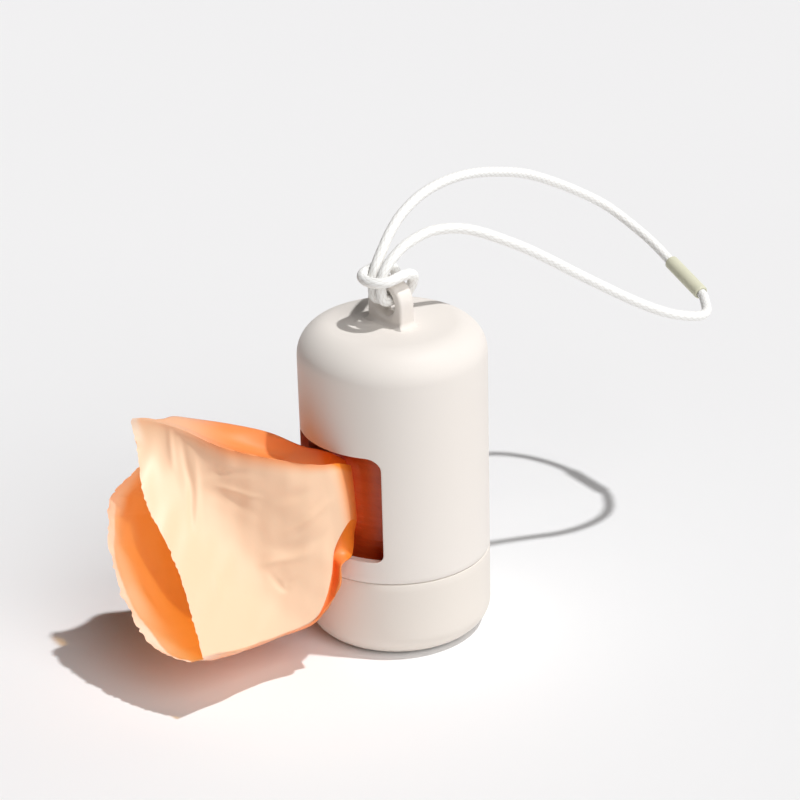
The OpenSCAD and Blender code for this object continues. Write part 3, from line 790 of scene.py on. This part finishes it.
def ripple(first, second, seed, count, longest, shortest):
    """Smooth random waves over two coordinates, about 1 high: a sum of sines whose lengths lie
    between two values and whose directions and phases are random."""
    chance = np.random.default_rng(seed)
    length = chance.uniform(shortest, longest, count)
    way, phase = chance.uniform(0, 2 * np.pi, (2, count))
    waves = sum(np.sin(2 * np.pi * (first * np.cos(w) + second * np.sin(w)) / k + f)
                for k, w, f in zip(length, way, phase))
    return waves / np.sqrt(count)


def grows(reach, start, stop=1.0):
    """0 up to start and 1 from stop, with a straight ramp between."""
    return np.clip((reach - start) / (stop - start), 0, 1)


def crease_height(panel):
    """Height over a panel's grid of points of all its creases: exp(-(d / width)^2) of the
    distance d from each crease's course, which fades as a sine towards the course's ends. The
    course is a row of points, each between the four points of its cell."""
    total = np.zeros(panel.shape[:2])
    for height, width, course in CREASES:
        cell = even_line(smooth_line(course, 8), 0.004)[0] * (np.array(total.shape) - 1)
        i, j = np.minimum(cell.astype(int), np.array(total.shape) - 2).T
        a, b = (cell - np.stack([i, j], 1)).T[..., None]
        marks = (panel[i, j] * (1 - a) + panel[i + 1, j] * a) * (1 - b) \
            + (panel[i, j + 1] * (1 - a) + panel[i + 1, j + 1] * a) * b
        ridge = np.zeros(total.shape)
        for mark, fade in zip(marks, np.sin(np.linspace(0, np.pi, len(marks))) ** 0.7):
            d = np.linalg.norm(panel - mark, axis=2)
            ridge = np.maximum(ridge, fade * np.exp(-(d / width) ** 2))
        total += height * ridge
    return total


def bag_surface():
    """Rings of the bag. Round a ring come the front panel, a low arch between its edges; the
    upper tuck; the back panel, round near the roll and with the belly's outline at the mouth;
    and the lower tuck. The mouth's torn edges are drawn out unevenly."""
    flat = smooth_line(BAG_ROWS.reshape(len(BAG_ROWS), -1), ROWS_PER_SPAN)
    low, high, valley, back, rear, under, belly = \
        flat.reshape(-1, 7, 3).transpose(1, 0, 2)[:, :, None]
    reach = np.linspace(0, 1, len(flat))[:, None, None]
    t = shares(FRONT)
    arch = ARCH_FROM + (ARCH_TO - ARCH_FROM) * reach
    front = low + (high - low) * t + PANEL_FACING * arch * 4 * t * (1 - t)
    lengthways = np.gradient((low + high)[:, 0], axis=0)[:, None]
    lengthways /= np.linalg.norm(lengthways, axis=2)[..., None]
    drawn = sum(far * np.exp(-((t - middle) / width) ** 2) for far, middle, width in DRAWN_OUT)
    height, start = FRONT_TEETH
    teeth = height * ripple(t * 58, 0 * t, 3, 9, 4.0, 0.9) * np.sqrt(np.minimum(t * 8, 1))
    front = front + lengthways * (drawn * grows(reach, DRAWN_FROM) ** 2
                                  + teeth * grows(reach, start))
    t = shares(BACK)
    opened = grows(reach, OPENS_FROM)
    opened = opened**2 * (3 - 2 * opened)
    wide, deep = (np.interp(t, np.linspace(0, 1, len(BELLY)), axis) for axis in BELLY.T)
    across = (1 - np.cos(np.pi * t)) / 2 * (1 - opened) + wide * opened
    depth = np.sin(np.pi * t) * (1 - opened) + deep * opened
    panel = back + (rear - back) * across + belly * depth
    height, start = BACK_TEETH
    teeth = height * ripple(t * 90, 0 * t, 4, 12, 4.0, 0.9) * np.minimum(8 * t * (1 - t), 1)
    panel = panel + lengthways * teeth * grows(reach, start)
    return np.concatenate([front, tucked(high, valley, back, shares(TUCK)), panel,
                           tucked(rear, under, low, shares(UNDER))], 1) + WINDOW_SILL


def crumpled(points):
    """The bag with its front panel creased and all its film softly crumpled, outwards along
    the normal, and not where it lies against the roll or passes the window."""
    step_row = np.gradient(points, axis=0)
    step_col = np.roll(points, -1, 1) - np.roll(points, 1, 1)
    inward = np.cross(step_row, step_col)
    inward /= np.maximum(np.linalg.norm(inward, axis=2), 1e-9)[..., None]
    height = np.zeros(points.shape[:2])
    height[:, :FRONT + 1] = crease_height(points[:, :FRONT + 1])
    x, y, z = np.moveaxis(points, 2, 0)
    col = np.arange(points.shape[1]) / points.shape[1] * np.ones(points.shape[:2])
    front = 1 - np.clip((np.arange(points.shape[1]) - FRONT) / 12, 0, 1)
    (low, *front_waves), (high, *other_waves) = FRONT_WAVES, OTHER_WAVES
    soft = low * ripple(x + y, z, 5, 10, *front_waves) * front \
        + high * ripple(x - y, z + 30 * col, 6, 12, *other_waves) * (1 - front)
    free = grows(np.arange(len(points)) / (len(points) - 1), CRUMPLE_FROM, CRUMPLE_TO)[:, None]
    return points - inward * ((height + soft) * free)[..., None]


bag_points = crumpled(bag_surface())
bag_rows, bag_cols = bag_points.shape[:2]
bag_quads, row, col = grid_quads(bag_rows, bag_cols, close=True)
bag_uv = np.stack([col / bag_cols, row / (bag_rows - 1)], -1)

# The front panel is a pale orange. Where layers lie on each other, near the roll and behind the
# front's folded edges, the film is a deep orange, partly the layers' own colour and partly a
# painted glow and painted shade, which pales towards the mouth; its rim is palest, a painted patch
# of sunlight on the back panel.
film = Finish("orange_film", Roughness=0.42, Specular_IOR_Level=0.5)
around, along = film.uv_place("X"), film.uv_place("Y")
clouded = film.noise(film.object_place(), 120.0, 3.0)
on_front = 1.0 - around.between(0.42, 0.46)
# Deep orange here is partly the film's layers and partly painted glow and painted shade, near the
# roll and in the tucks
layers_and_painted_glow = around.between(0.38, 0.47) * 0.85 + (1.0 - along.between(0.06, 0.24)) * 0.9 \
    + clouded * 0.2 - 0.1
# The deep orange of the painted glow pales towards the mouth
painted_glow_to_mouth = film.mix(along.between(0.55, 0.76), srgb(255, 150, 50), srgb(250, 208, 164))
# A pale band at the rim: a painted patch of sunlight on the back panel
painted_sunlit_rim = film.mix(along.between(0.91, 0.96), painted_glow_to_mouth, srgb(255, 247, 228))
film.color(film.mix(layers_and_painted_glow, srgb(253, 221, 186), painted_sunlit_rim))
# It glows with the light on its other side, less so on the front. The lamps' rays, which are
# shadow rays, pass through the front panel by half as long as they have met no film before.
light_through = film.node("ShaderNodeBsdfTranslucent", None, {"Color": srgb(255, 150, 60)})
film_sides = film.node("ShaderNodeMixShader", None, [
    on_front * -0.13 + 0.26, Socket(film, film.shader.outputs[0]), light_through])
sun_through = film.node("ShaderNodeBsdfTransparent", None, {"Color": srgb(255, 196, 84)})
lamp_ray = film.node("ShaderNodeLightPath", out="Is Shadow Ray")
layers_passed = film.node("ShaderNodeLightPath", out="Transparent Depth")
first_layer = 1.0 - layers_passed.between(0.0, 1.0)
film_seen = film.node("ShaderNodeMixShader", None, [
    lamp_ray * first_layer * on_front * 0.5, film_sides, sun_through])
film.feed(film.tree.nodes["Material Output"], "Surface", film_seen)
bag = add_piece("bag", [(bag_points * MM, bag_quads, bag_uv)], film, "drawn_bag")
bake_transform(bag)
